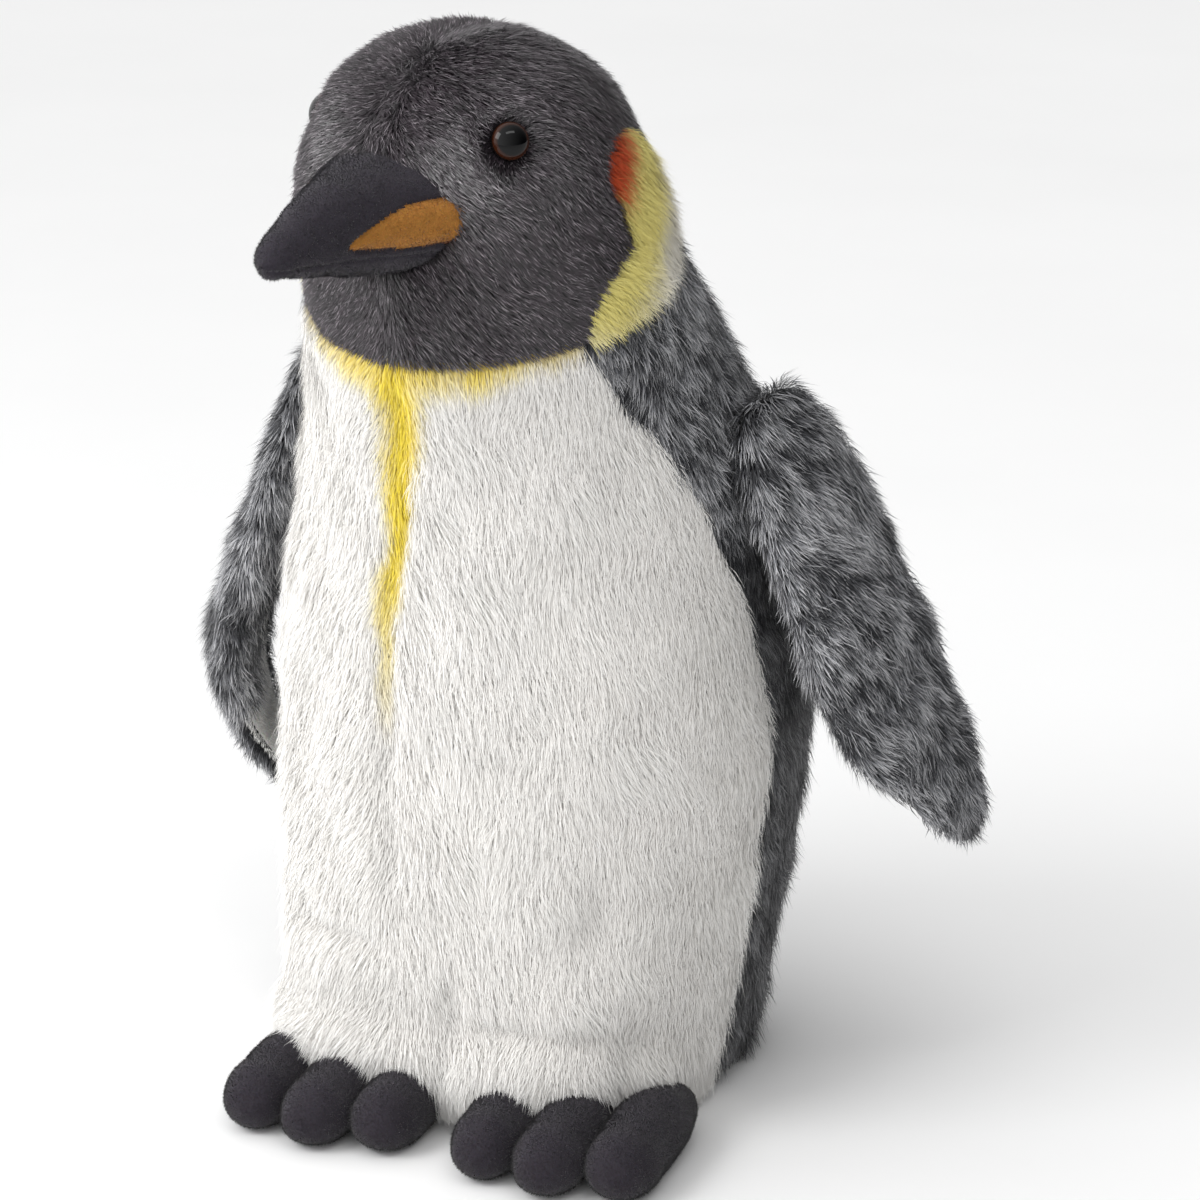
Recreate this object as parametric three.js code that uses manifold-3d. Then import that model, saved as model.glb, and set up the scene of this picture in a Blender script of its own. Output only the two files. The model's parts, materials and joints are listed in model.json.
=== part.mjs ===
// A plush penguin, about 400 mm tall: sewn pile-fabric panels over soft filling, a weighted flat
// base, a stuffed fleece beak, safety eyes, sewn-on flippers and feet of three stuffed toes.
// Millimetres, +Z up. The penguin faces -Y and its own left side is +X. The origin is on the
// floor, under the middle of the flat base.
import * as THREE from "three";
import { mergeVertices } from "three/addons/utils/BufferGeometryUtils.js";
import Module from "manifold-3d";

// ---------------------------------------------------------------- driving dimensions
const COVER = 3; // pile fabric, backing and seam allowance
const FLEECE = 2.4; // short fleece of the beak and feet
const GAP = 0.3; // clearance between neighbouring pieces
const FILLING_GAP = 1; // slack between a flipper's cover and its filling
const FAR = 400; // reach of the cutting blocks
// Segments round each kind of shape, and along the edge of a curved patch.
const SIDES = { figure: 24, beak: 14, flipper: 12, toe: 10, eye: 10 };
const OUTLINE_POINTS = 20;

// The whole figure without limbs, from floor to crown:
// [height, half width, half depth, centre Y, squareness], where squareness 2 is an ellipse.
const FIGURE = [
  [0, 70, 60, 5, 2.8],
  [6, 76, 70, 3, 2.8],
  [20, 80, 77, 2, 2.8],
  [48, 85, 82, 5, 2.7],
  [90, 92, 86, 9, 2.4],
  [150, 98, 88, 12, 2.2],
  [182, 96, 86, 11, 2.1],
  [215, 91, 82, 8, 2],
  [250, 84, 78, 2, 2],
  [278, 76, 74, -7, 2],
  [302, 70, 69, -18, 2],
  [320, 66, 66, -26, 2],
  [338, 64, 64, -32, 2],
  [354, 61, 61.5, -35, 2],
  [368, 55, 56, -37, 2],
  [380, 47, 48, -38, 2],
  [390, 36, 37, -39, 2],
  [397, 22, 23, -39, 2],
  [400, 0, 0, -39, 2],
];
const BASE_BOARD = 2.5; // thickness of the stiffener on the base panel
const PELLETS_TOP = 42; // height of the weighting bag in the bottom of the body

// The neck seam lies in a plane that is lower at the throat than at the nape.
const NECK = { y: -20, z: 311, tilt: THREE.MathUtils.degToRad(17.5) };
const HEAD_Y = -36; // the head's own upright axis
// The figure turns a little to the penguin's right between these heights, and the head more.
const TWIST = { low: 45, high: 280, angle: THREE.MathUtils.degToRad(-9) };

// Seam between belly and back, seen from the side: [Y, Z] from the floor up.
const SIDE_SEAM = [
  [-6, -10],
  [-6, 40],
  [-4, 85],
  [0, 130],
  [0, 165],
  [-4, 197],
  [-15, 236],
  [-35, 273],
  [-53, 300],
  [-64, 322],
];

// The ear patch, seen from the side with the head facing -Y: [Y, Z] round its edge.
const EAR_PATCH = [
  [-50, 288],
  [-51, 310],
  [-45, 320],
  [-34, 333],
  [-38, 347],
  [-40, 358],
  [-26, 368],
  [-8, 362],
  [8, 344],
  [18, 322],
  [18, 296],
  [-20, 283],
];

// The safety eye: how high it sits and looks, its dome, the stem through the hood and the washer
// behind. The dome's back is at its seat.
const EYE = {
  z: 371,
  up: THREE.MathUtils.degToRad(18),
  radius: 6.8,
  dome: 5.2,
  seat: 0.8,
  domeSteps: 4,
  stem: 2,
  stemLength: 9,
  washer: 6.2,
  washerThick: 1.6,
  washerBehind: 3.4,
};
// How far round from the front each eye is, and how deep it is pulled into the pile.
const EYES = {
  left: { side: 1, azimuth: THREE.MathUtils.degToRad(51), sunk: 1.2 },
  right: { side: -1, azimuth: THREE.MathUtils.degToRad(55), sunk: 3.4 },
};

// The beak, forward from the head's own axis: [forward, half width, top, bottom].
const BEAK = [
  [38, 36, 368, 325],
  [52, 31, 367, 324],
  [62, 25.5, 365.5, 324.5],
  [74, 19.5, 363, 326],
  [88, 14.5, 359.5, 329],
  [99, 11.5, 354.5, 330.5],
  [108, 9, 350, 332.5],
  [115.5, 6, 345.5, 333.5],
  [120, 0, 338.5, 338.5],
];
const BEAK_PATCH = [
  [-94, 337],
  [-82, 338],
  [-82, 351],
  [-92, 353.5],
  [-106, 351],
  [-124, 340],
];
const MOUTH = { frontY: -160, front: 337, rear: 328 };

// A flipper in its own frame, down from the shoulder:
// [down, half width, half thickness, centre across].
const FLIPPER_LENGTH = 178;
const FLIPPER = [
  [0, 0, 0, 0],
  [2, 14, 4.6, -1],
  [14, 21, 7.2, -1.5],
  [30, 25.5, 8.6, -2.5],
  [48, 27.5, 9, -4.5],
  [72, 29.5, 9, -6],
  [94, 31, 8.8, -7.5],
  [114, 30.5, 8.2, -7.5],
  [134, 26.5, 7.4, -4],
  [154, 20, 6.5, 1.5],
  [170, 12, 5, 6],
  [FLIPPER_LENGTH, 0, 0, 9],
];
const LINING_SPLIT = -2; // where the white lining meets the outer cover, through the thickness
// Where each flipper is sewn on, the way it hangs, the way its width runs, how far it bows
// outwards, most at a share of its length, and how far it turns about its length going down.
const SHOULDERS = {
  left: {
    side: 1,
    at: [88.7, 7, 267],
    hangs: [0.4, 0.1, -0.91],
    width: [0.27, 0.96, 0],
    bow: 5,
    bowAt: 0.5,
    turn: 0,
  },
  right: {
    side: -1,
    at: [-92, 16, 262],
    hangs: [-0.08, -0.02, -0.99],
    width: [0, 1, 0],
    bow: 28,
    bowAt: 0.68,
    turn: THREE.MathUtils.degToRad(20),
  },
};

// One toe, forward from the hem: [along, half width, half height].
const TOE = [
  [-15, 0, 0],
  [-12, 9, 7.5],
  [0, 11.6, 11.5],
  [32, 12.3, 12.6],
  [48, 11.3, 10.8],
  [56, 7, 6],
  [59, 0, 0],
];
const TOE_LIFT = 10.8; // a toe's middle above the floor, so that it stands on a flat underside
const TOES = {
  right: { x: -25.4, forward: -4 },
  middle: { x: 0, forward: 2 },
  left: { x: 25.4, forward: -4 },
};
const FOOT = { y: -61, clear: 4.5 }; // the sewn edge of the feet, and how far they clear the body
const FEET = {
  left: { x: 54, turn: THREE.MathUtils.degToRad(6) },
  right: { x: -38, turn: THREE.MathUtils.degToRad(4) },
};

// ---------------------------------------------------------------- solids from three.js shapes
const wasm = await Module();
wasm.setup();

/** A closed three.js geometry as a manifold-3d solid. */
function solid(geometry) {
  const bare = new THREE.BufferGeometry();
  const loose = geometry.index ? geometry.toNonIndexed() : geometry;
  bare.setAttribute("position", loose.getAttribute("position"));
  const merged = mergeVertices(bare, 1e-3);
  return new wasm.Manifold(
    new wasm.Mesh({
      numProp: 3,
      vertProperties: merged.getAttribute("position").array,
      triVerts: new Uint32Array(merged.index.array),
    }),
  );
}

/** A manifold-3d solid as a three.js geometry. */
function geometryOf(made) {
  const mesh = made.getMesh();
  const positions = new Float32Array(mesh.numVert * 3);
  for (let i = 0; i < mesh.numVert; i += 1) {
    positions.set(mesh.vertProperties.subarray(i * mesh.numProp, i * mesh.numProp + 3), i * 3);
  }
  const geometry = new THREE.BufferGeometry();
  geometry.setAttribute("position", new THREE.BufferAttribute(positions, 3));
  geometry.setIndex(new THREE.BufferAttribute(mesh.triVerts, 1));
  geometry.computeVertexNormals();
  return geometry;
}

/**
 * A stack of elliptical rings as one closed solid. Each ring is { a, b, place }, with half sizes
 * a and b, and place(u, v) turns a point of the ring's own plane into a point of the solid.
 */
function loft(rings, sides) {
  const profile = rings.map((ring, i) => new THREE.Vector2(ring.a > 0 ? 1 : 0, i));
  const geometry = new THREE.LatheGeometry(profile, sides);
  const position = geometry.getAttribute("position");
  for (let i = 0; i < position.count; i += 1) {
    const ring = rings[Math.round(position.getY(i))];
    const point = ring.place(position.getX(i) * ring.a, position.getZ(i) * ring.b);
    position.setXYZ(i, point[0], point[1], point[2]);
  }
  const made = solid(geometry);
  return made.volume() < 0 ? solid(flipped(geometry)) : made;
}

/** The same geometry with its faces turned round. */
function flipped(geometry) {
  const index = geometry.index.array;
  for (let i = 0; i < index.length; i += 3) {
    [index[i + 1], index[i + 2]] = [index[i + 2], index[i + 1]];
  }
  return geometry;
}

/** The figure's surface, moved inwards by an inset. */
function figure(inset) {
  const top = FIGURE[FIGURE.length - 1][0];
  const squeeze = (top - 2 * inset) / top;
  const rings = FIGURE.map(([z, width, depth, y, squareness]) => {
    const a = width > 0 ? Math.max(width - inset, 0) : 0;
    const b = width > 0 ? Math.max(depth - inset, 0) : 0;
    const grow = (u, v) => {
      const power = a > 0 ? Math.abs(u / a) ** squareness + Math.abs(v / b) ** squareness : 0;
      return power > 0 ? power ** (-1 / squareness) : 0;
    };
    return { a, b, place: (u, v) => [u * grow(u, v), y + v * grow(u, v), inset + z * squeeze] };
  });
  return loft([{ ...rings[0], a: 0, b: 0 }, ...rings], SIDES.figure);
}

/** A block from one corner to another. */
function block(low, high) {
  const size = high.map((value, i) => value - low[i]);
  const geometry = new THREE.BoxGeometry(...size);
  geometry.translate(...low.map((value, i) => value + size[i] / 2));
  return solid(geometry);
}

/** Everything on one side of the neck seam's plane, moved along its normal. */
function besideNeck(side, away) {
  const geometry = new THREE.BoxGeometry(2 * FAR, 2 * FAR, FAR);
  geometry.translate(0, 0, side * (FAR / 2 + away));
  geometry.rotateX(NECK.tilt);
  geometry.translate(0, NECK.y, NECK.z);
  return solid(geometry);
}

/** An outline of [Y, Z] points drawn from the side, cut through from one X to another. */
function sideCut(shape, lowX, highX) {
  const depth = highX - lowX;
  const geometry = new THREE.ExtrudeGeometry(shape, { depth, bevelEnabled: false });
  geometry.rotateY(Math.PI / 2);
  geometry.rotateX(Math.PI / 2);
  geometry.translate(lowX, 0, 0);
  return solid(geometry);
}

/** A smooth closed outline through [Y, Z] points, grown about its own middle. */
function roundOutline(points, grow = 0) {
  const flat = points.map(([y, z]) => new THREE.Vector2(y, z));
  const middle = flat.reduce((sum, p) => sum.add(p), new THREE.Vector2()).divideScalar(flat.length);
  const curve = new THREE.CatmullRomCurve3(
    flat.map((p) => {
      const out = p.clone().sub(middle);
      out.setLength(out.length() + grow);
      return new THREE.Vector3(out.x + middle.x, out.y + middle.y, 0);
    }),
    true,
  );
  const edge = curve.getPoints(OUTLINE_POINTS).slice(0, -1);
  return new THREE.Shape(edge.map((p) => new THREE.Vector2(p.x, p.y)));
}

// ---------------------------------------------------------------- the scene graph
const penguin = new THREE.Group();

const MATERIALS = {
  white_plush: { color: 0xe9e7e4, roughness: 0.95 },
  grey_plush: { color: 0x5f6168, roughness: 0.95 },
  black_plush: { color: 0x2e2830, roughness: 0.9 },
  ear_plush: { color: 0xd8cf6a, roughness: 0.95 },
  black_fleece: { color: 0x2b282c, roughness: 1 },
  orange_fleece: { color: 0xb97a2e, roughness: 1 },
  white_velour: { color: 0xf0efec, roughness: 0.9 },
  polyester_fibre: { color: 0xf4f4f2, roughness: 1 },
  eye_plastic: { color: 0x15110f, roughness: 0.08 },
  washer_plastic: { color: 0xd9d9d4, roughness: 0.5 },
  base_fabric: { color: 0x232126, roughness: 0.95 },
  board: { color: 0x8d8478, roughness: 0.8 },
  pellet_bag: { color: 0xe2ddd2, roughness: 0.9 },
};

/** Adds a solid to the scene as one named piece. */
function add(name, made, material, warp = (geometry) => geometry) {
  const finish = new THREE.MeshStandardMaterial({ metalness: 0, ...MATERIALS[material] });
  const mesh = new THREE.Mesh(warp(geometryOf(made)), finish);
  mesh.name = name;
  penguin.add(mesh);
}

/** A solid's left (X > 0) or right half, with half the seam's gap taken off. */
function half(made, side) {
  const low = side > 0 ? GAP / 2 : -FAR;
  const high = side > 0 ? FAR : -GAP / 2;
  return made.intersect(block([low, -FAR, -FAR], [high, FAR, 2 * FAR]));
}

/** Adds a piece of the body or head, which twist. */
function addTwisted(name, made, material) {
  add(name, made, material, twisted);
}

/** A geometry of the body or head, turned about the upright axis as the figure twists. */
function twisted(geometry) {
  const position = geometry.getAttribute("position");
  const point = new THREE.Vector3();
  const upright = new THREE.Vector3(0, 0, 1);
  for (let i = 0; i < position.count; i += 1) {
    point.fromBufferAttribute(position, i);
    const turn = TWIST.angle * THREE.MathUtils.smoothstep(point.z, TWIST.low, TWIST.high);
    point.applyAxisAngle(upright, turn);
    position.setXYZ(i, point.x, point.y, point.z);
  }
  return geometry;
}

// ---------------------------------------------------------------- body
const skin = figure(0);
const lining = figure(COVER);
const core = figure(COVER + GAP);
const belowNeck = besideNeck(-1, GAP / 2);
const aboveNeck = besideNeck(1, GAP / 2);
const frontOfSeam = (grow) => {
  const line = SIDE_SEAM.map(([y, z]) => new THREE.Vector2(y - grow, z));
  const front = [new THREE.Vector2(-FAR / 2, FAR), new THREE.Vector2(-FAR / 2, -10)];
  return sideCut(new THREE.Shape([...line, ...front]), -FAR / 2, FAR / 2);
};
const BASE_TOP = COVER + GAP;

const torso = skin.subtract(lining).intersect(belowNeck);
const walls = torso.subtract(block([-FAR, -FAR, -FAR], [FAR, FAR, BASE_TOP]));
const bellyWall = walls.intersect(frontOfSeam(GAP / 2));
const backWall = walls.subtract(frontOfSeam(-GAP / 2));
addTwisted("belly_left", half(bellyWall, 1), "white_plush");
addTwisted("belly_right", half(bellyWall, -1), "white_plush");
addTwisted("back_left", half(backWall, 1), "grey_plush");
addTwisted("back_right", half(backWall, -1), "grey_plush");
addTwisted("base_panel", skin.intersect(block([-FAR, -FAR, -1], [FAR, FAR, COVER])), "base_fabric");

const boardTop = BASE_TOP + BASE_BOARD;
const inside = core.intersect(belowNeck);
const layer = (low, high) => block([-FAR, -FAR, low], [FAR, FAR, high]);
addTwisted("base_board", inside.intersect(layer(BASE_TOP, boardTop)), "board");
addTwisted("pellet_bag", inside.intersect(layer(boardTop + GAP, PELLETS_TOP)), "pellet_bag");
addTwisted("body_stuffing", inside.intersect(layer(PELLETS_TOP + GAP, FAR)), "polyester_fibre");

// ---------------------------------------------------------------- head
const EAR_CLEAR = 5; // the ear patches stop this far from the middle of the head
const sideBlock = (side, away) => {
  const low = side > 0 ? away : -FAR;
  const high = side > 0 ? FAR : -away;
  return block([low, -FAR, 0], [high, FAR, 2 * FAR]);
};
const sideOutline = (side, points, grow) => {
  const reach = side > 0 ? [0, FAR] : [-FAR, 0];
  return sideCut(roundOutline(points, grow), ...reach);
};

/** Half the width and depth of the figure, and its centre's Y, at a height. */
function figureAt(z) {
  const above = FIGURE.findIndex((ring) => ring[0] > z);
  const [low, high] = [FIGURE[above - 1], FIGURE[above]];
  const t = (z - low[0]) / (high[0] - low[0]);
  return low.map((value, i) => value + t * (high[i] - value));
}

/** A shape turned round an eye's axis, from [radius, outward] points, set on the head. */
function atEye({ side, azimuth, sunk }, profile) {
  const [, width, depth, y] = figureAt(EYE.z);
  const points = profile.map(([radius, out]) => new THREE.Vector2(radius, out - sunk));
  const geometry = new THREE.LatheGeometry(points, SIDES.eye);
  geometry.rotateX(Math.PI - EYE.up);
  geometry.rotateZ(side * azimuth);
  const [x, back] = [side * width * Math.sin(azimuth), depth * Math.cos(azimuth)];
  geometry.translate(x, y - back, EYE.z);
  const made = solid(geometry);
  return made.volume() < 0 ? solid(flipped(geometry)) : made;
}

const disc = (radius, low, high) => [
  [0, low],
  [radius, low],
  [radius, high],
  [0, high],
];
const washerAt = -(COVER + EYE.washerBehind);
const eyeProfile = () => {
  const dome = new THREE.EllipseCurve(0, EYE.seat, EYE.radius, EYE.dome, 0, Math.PI / 2);
  const bead = dome.getPoints(EYE.domeSteps).map((p) => [p.x, p.y]);
  bead[bead.length - 1][0] = 0;
  return [[0, -EYE.stemLength], [EYE.stem, -EYE.stemLength], [EYE.stem, EYE.seat], ...bead];
};
const washerProfile = [
  [EYE.stem + GAP, washerAt - EYE.washerThick],
  [EYE.washer, washerAt - EYE.washerThick],
  [EYE.washer, washerAt],
  [EYE.stem + GAP, washerAt],
  [EYE.stem + GAP, washerAt - EYE.washerThick],
];

const headShell = skin.subtract(lining).intersect(aboveNeck);
const ears = (grow) =>
  sideOutline(1, EAR_PATCH, grow).add(sideOutline(-1, EAR_PATCH, grow));
const hood = headShell.subtract(ears(GAP / 2));
const patches = headShell.intersect(ears(-GAP / 2));
let headStuffing = core.intersect(aboveNeck);
for (const [name, eye] of Object.entries(EYES)) {
  const deep = -EYE.stemLength - GAP;
  const stemHole = atEye(eye, disc(EYE.stem + GAP, deep, EYE.seat + EYE.dome));
  const pocket = atEye(eye, disc(EYE.washer + GAP, deep, washerAt + GAP));
  const seat = atEye(eye, disc(EYE.radius + GAP, EYE.seat - GAP, EYE.seat + EYE.dome + EYE.radius));
  const hoodHalf = hood.intersect(sideBlock(eye.side, GAP / 2));
  addTwisted(`hood_${name}`, hoodHalf.subtract(stemHole).subtract(seat), "black_plush");
  const patch = patches.intersect(sideBlock(eye.side, EAR_CLEAR));
  addTwisted(`ear_patch_${name}`, patch, "ear_plush");
  addTwisted(`eye_${name}`, atEye(eye, eyeProfile()), "eye_plastic");
  addTwisted(`eye_washer_${name}`, atEye(eye, washerProfile), "washer_plastic");
  headStuffing = headStuffing.subtract(pocket).subtract(stemHole);
}
addTwisted("head_stuffing", headStuffing, "polyester_fibre");

// ---------------------------------------------------------------- beak
const BEAK_SLIMMEST = 0.5; // the least half size of a ring, so that the tip stays a point
const PATCH_CLEAR = 1; // the beak's patches stop this far from the middle

/** The beak's outer shape, moved inwards by an inset, with the head facing -Y. */
function beak(inset) {
  const rings = BEAK.map(([forward, width, top, bottom]) => {
    const depth = (top - bottom) / 2;
    return {
      a: width > 0 ? Math.max(width - inset, BEAK_SLIMMEST) : 0,
      b: depth > 0 ? Math.max(depth - inset, BEAK_SLIMMEST) : 0,
      place: (u, v) => [u, HEAD_Y - forward + (width > 0 ? 0 : inset), (top + bottom) / 2 + v],
    };
  });
  return loft([{ ...rings[0], a: 0, b: 0 }, ...rings], SIDES.beak);
}

const headClear = figure(-GAP);
const beakShell = beak(0).subtract(beak(FLEECE));
const mouth = (grow) => {
  const outline = [
    [MOUTH.frontY, MOUTH.front + grow],
    [0, MOUTH.rear + grow],
    [0, 0],
    [MOUTH.frontY, 0],
  ];
  const corners = outline.map(([y, z]) => new THREE.Vector2(y, z));
  return sideCut(new THREE.Shape(corners), -FAR / 2, FAR / 2);
};
const beakPatches = (grow) =>
  sideOutline(1, BEAK_PATCH, grow).add(sideOutline(-1, BEAK_PATCH, grow));
const onHead = (made) => made.subtract(headClear);
const beakBlack = beakShell.subtract(beakPatches(GAP / 2));
addTwisted("beak_upper_cover", onHead(beakBlack.subtract(mouth(GAP / 2))), "black_fleece");
addTwisted("beak_lower_cover", onHead(beakBlack.intersect(mouth(-GAP / 2))), "black_fleece");
for (const [name, { side }] of Object.entries(EYES)) {
  const patch = beakShell.intersect(beakPatches(-GAP / 2)).intersect(sideBlock(side, PATCH_CLEAR));
  addTwisted(`beak_patch_${name}`, onHead(patch), "orange_fleece");
}
addTwisted("beak_filling", onHead(beak(FLEECE + GAP)), "polyester_fibre");

// ---------------------------------------------------------------- flippers
/** A flat flipper's outer shape, moved inwards by an inset: X across, Y outwards, -Z down. */
function flipper(inset) {
  const squeeze = (FLIPPER_LENGTH - 2 * inset) / FLIPPER_LENGTH;
  const rings = FLIPPER.map(([down, width, thick, across]) => ({
    a: width > 0 ? width - inset : 0,
    b: width > 0 ? thick - inset : 0,
    place: (u, v) => [across + u, v, -(inset + down * squeeze)],
  }));
  return loft(rings, SIDES.flipper);
}

const flipperShell = flipper(0).subtract(flipper(COVER));
const flipperCover = flipperShell.intersect(block([-FAR, LINING_SPLIT + 2 * GAP, -FAR], [FAR, FAR, FAR]));
const flipperLining = flipperShell.intersect(block([-FAR, -FAR, -FAR], [FAR, LINING_SPLIT, FAR]));
const flipperFilling = flipper(COVER + FILLING_GAP);

for (const [name, shoulder] of Object.entries(SHOULDERS)) {
  const { side, at, hangs, width, bow, bowAt, turn } = shoulder;
  const up = new THREE.Vector3(...hangs).normalize().negate();
  const across = new THREE.Vector3(...width);
  across.addScaledVector(up, -across.dot(up)).normalize();
  const outward = new THREE.Vector3().crossVectors(up, across).multiplyScalar(-side);
  const frame = new THREE.Matrix4().makeBasis(across, outward, up).setPosition(...at);
  const curve = Math.log(0.5) / Math.log(bowAt);
  const bowed = (geometry) => {
    const position = geometry.getAttribute("position");
    for (let i = 0; i < position.count; i += 1) {
      const share = THREE.MathUtils.clamp(-position.getZ(i) / FLIPPER_LENGTH, 0, 1);
      const angle = turn * THREE.MathUtils.smoothstep(share, 0, bowAt);
      const [u, v] = [position.getX(i), position.getY(i)];
      position.setX(i, u * Math.cos(angle) - v * Math.sin(angle));
      const out = u * Math.sin(angle) + v * Math.cos(angle);
      position.setY(i, out + bow * Math.sin(Math.PI * share ** curve));
    }
    // A mirroring frame turns the faces round, so they are turned back.
    return frame.determinant() < 0
      ? flipped(geometry).applyMatrix4(frame)
      : geometry.applyMatrix4(frame);
  };
  add(`flipper_${name}_cover`, flipperCover, "grey_plush", bowed);
  add(`flipper_${name}_lining`, flipperLining, "white_velour", bowed);
  add(`flipper_${name}_filling`, flipperFilling, "polyester_fibre", bowed);
}

// ---------------------------------------------------------------- feet
/** A matrix that turns about an upright axis and then moves to [x, y]. */
function turnedTo(x, y, angle) {
  return new THREE.Matrix4().makeRotationZ(angle).setPosition(x, y, 0);
}

/** A toe that points along -Y, moved inwards by an inset. */
function toe(inset) {
  const [rear, tip] = [TOE[0][0], TOE[TOE.length - 1][0]];
  const squeeze = (tip - rear - 2 * inset) / (tip - rear);
  const rings = TOE.map(([along, width, height]) => ({
    a: width > 0 ? width - inset : 0,
    b: width > 0 ? height - inset : 0,
    place: (u, v) => [u, -(rear + inset + (along - rear) * squeeze), TOE_LIFT + v],
  }));
  return loft(rings, SIDES.toe);
}

const bodyClear = figure(-FOOT.clear);
const aboveFloor = layer(0, FAR);
for (const [name, { x, turn }] of Object.entries(FEET)) {
  const foot = turnedTo(x, FOOT.y, turn);
  for (const [toeName, place] of Object.entries(TOES)) {
    const onFoot = turnedTo(place.x, -place.forward, 0);
    const placed = (made) =>
      made.transform(foot.clone().multiply(onFoot).toArray()).subtract(bodyClear);
    const cover = placed(toe(0).subtract(toe(FLEECE))).intersect(aboveFloor);
    add(`${name}_toe_${toeName}_cover`, cover, "black_fleece");
    add(`${name}_toe_${toeName}_filling`, placed(toe(FLEECE + GAP)), "polyester_fibre");
  }
}

export default penguin;
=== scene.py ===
"""The looks of a plush penguin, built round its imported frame.

Every sewn panel is a smooth skin with a coat of pile on it, as real pile fabric is: tapered
strands with a comb direction, clumps, partings and a colour that runs from root to tip.
Shapes are worked out in millimetres and written to Blender in metres.
"""
import json
import math

import bpy
import numpy as np
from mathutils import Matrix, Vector

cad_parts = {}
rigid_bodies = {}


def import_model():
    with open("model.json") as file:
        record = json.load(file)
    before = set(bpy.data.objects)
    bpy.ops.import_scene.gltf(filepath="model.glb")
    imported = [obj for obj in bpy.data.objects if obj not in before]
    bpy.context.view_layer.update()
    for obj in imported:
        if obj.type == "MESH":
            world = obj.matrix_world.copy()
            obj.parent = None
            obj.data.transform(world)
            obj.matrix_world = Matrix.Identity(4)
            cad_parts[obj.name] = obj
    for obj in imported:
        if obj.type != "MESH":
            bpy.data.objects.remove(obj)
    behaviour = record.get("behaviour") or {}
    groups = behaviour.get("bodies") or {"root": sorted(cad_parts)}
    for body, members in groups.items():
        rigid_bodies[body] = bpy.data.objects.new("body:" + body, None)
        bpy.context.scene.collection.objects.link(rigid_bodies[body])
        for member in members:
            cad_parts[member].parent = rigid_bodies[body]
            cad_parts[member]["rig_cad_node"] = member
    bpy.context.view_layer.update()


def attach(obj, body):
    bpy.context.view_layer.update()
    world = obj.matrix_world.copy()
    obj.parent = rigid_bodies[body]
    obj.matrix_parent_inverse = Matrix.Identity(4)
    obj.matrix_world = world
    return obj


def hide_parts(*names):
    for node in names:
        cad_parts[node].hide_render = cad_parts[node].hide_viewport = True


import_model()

MM = 0.001
MOST_STRANDS = 99000  # in one coat
FLOOR_CLEAR = 0.3  # no strand goes lower than this
ROOT_SUNK = 0.3  # how far below the fabric a strand starts
TOE_FLOOR = 0.25  # the lowest a toe's fabric goes
TOE_BARE = 1.2  # no fuzz grows lower than this on a toe

# ------------------------------------------------------------------ the design, as in the CAD
# The toes alone differ: they are up to 1 mm plumper here.
# The figure from floor to crown: height, half width, half depth, centre Y, squareness.
FIGURE = np.array([
    [0, 70, 60, 5, 2.8],
    [6, 76, 70, 3, 2.8],
    [20, 80, 77, 2, 2.8],
    [48, 85, 82, 5, 2.7],
    [90, 92, 86, 9, 2.4],
    [150, 98, 88, 12, 2.2],
    [182, 96, 86, 11, 2.1],
    [215, 91, 82, 8, 2],
    [250, 84, 78, 2, 2],
    [278, 76, 74, -7, 2],
    [302, 70, 69, -18, 2],
    [320, 66, 66, -26, 2],
    [338, 64, 64, -32, 2],
    [354, 61, 61.5, -35, 2],
    [368, 55, 56, -37, 2],
    [380, 47, 48, -38, 2],
    [390, 36, 37, -39, 2],
    [397, 22, 23, -39, 2],
    [400, 0, 0, -39, 2],
])
TOP = FIGURE[-1, 0]
NECK = {"y": -20, "z": 311, "tilt": math.radians(17.5)}
HEAD_Y = -36
TWIST = {"low": 45, "high": 280, "angle": math.radians(-9)}
SIDE_SEAM = np.array([
    [-6, -10], [-6, 40], [-4, 85], [0, 130], [0, 165],
    [-4, 197], [-15, 236], [-35, 273], [-53, 300], [-64, 322],
])
EAR_PATCH = np.array([
    [-50, 288], [-51, 310], [-45, 320], [-34, 333], [-38, 347], [-40, 358],
    [-26, 368], [-8, 362], [8, 344], [18, 322], [18, 296], [-20, 283],
])
BEAK = np.array([
    [38, 36, 368, 325],
    [52, 31, 367, 324],
    [62, 25.5, 365.5, 324.5],
    [74, 19.5, 363, 326],
    [88, 14.5, 359.5, 329],
    [99, 11.5, 354.5, 330.5],
    [108, 9, 350, 332.5],
    [115.5, 6, 345.5, 333.5],
    [120, 0, 338.5, 338.5],
])
BEAK_PATCH = np.array([[-94, 337], [-82, 338], [-82, 351], [-92, 353.5], [-106, 351], [-124, 340]])
MOUTH = np.array([[-160, 337], [0, 328]])
FLIPPER = np.array([
    [0, 0, 0, 0],
    [2, 14, 4.6, -1],
    [14, 21, 7.2, -1.5],
    [30, 25.5, 8.6, -2.5],
    [48, 27.5, 9, -4.5],
    [72, 29.5, 9, -6],
    [94, 31, 8.8, -7.5],
    [114, 30.5, 8.2, -7.5],
    [134, 26.5, 7.4, -4],
    [154, 20, 6.5, 1.5],
    [170, 12, 5, 6],
    [178, 0, 0, 9],
])
LINING_SPLIT = -2
SHOULDERS = {
    "left": {"side": 1, "at": (88.7, 7, 267), "hangs": (0.4, 0.1, -0.91), "width": (0.27, 0.96, 0),
             "bow": 5, "bow_at": 0.5, "turn": 0},
    "right": {"side": -1, "at": (-92, 16, 262), "hangs": (-0.08, -0.02, -0.99), "width": (0, 1, 0),
              "bow": 28, "bow_at": 0.68, "turn": math.radians(20)},
}
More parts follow.
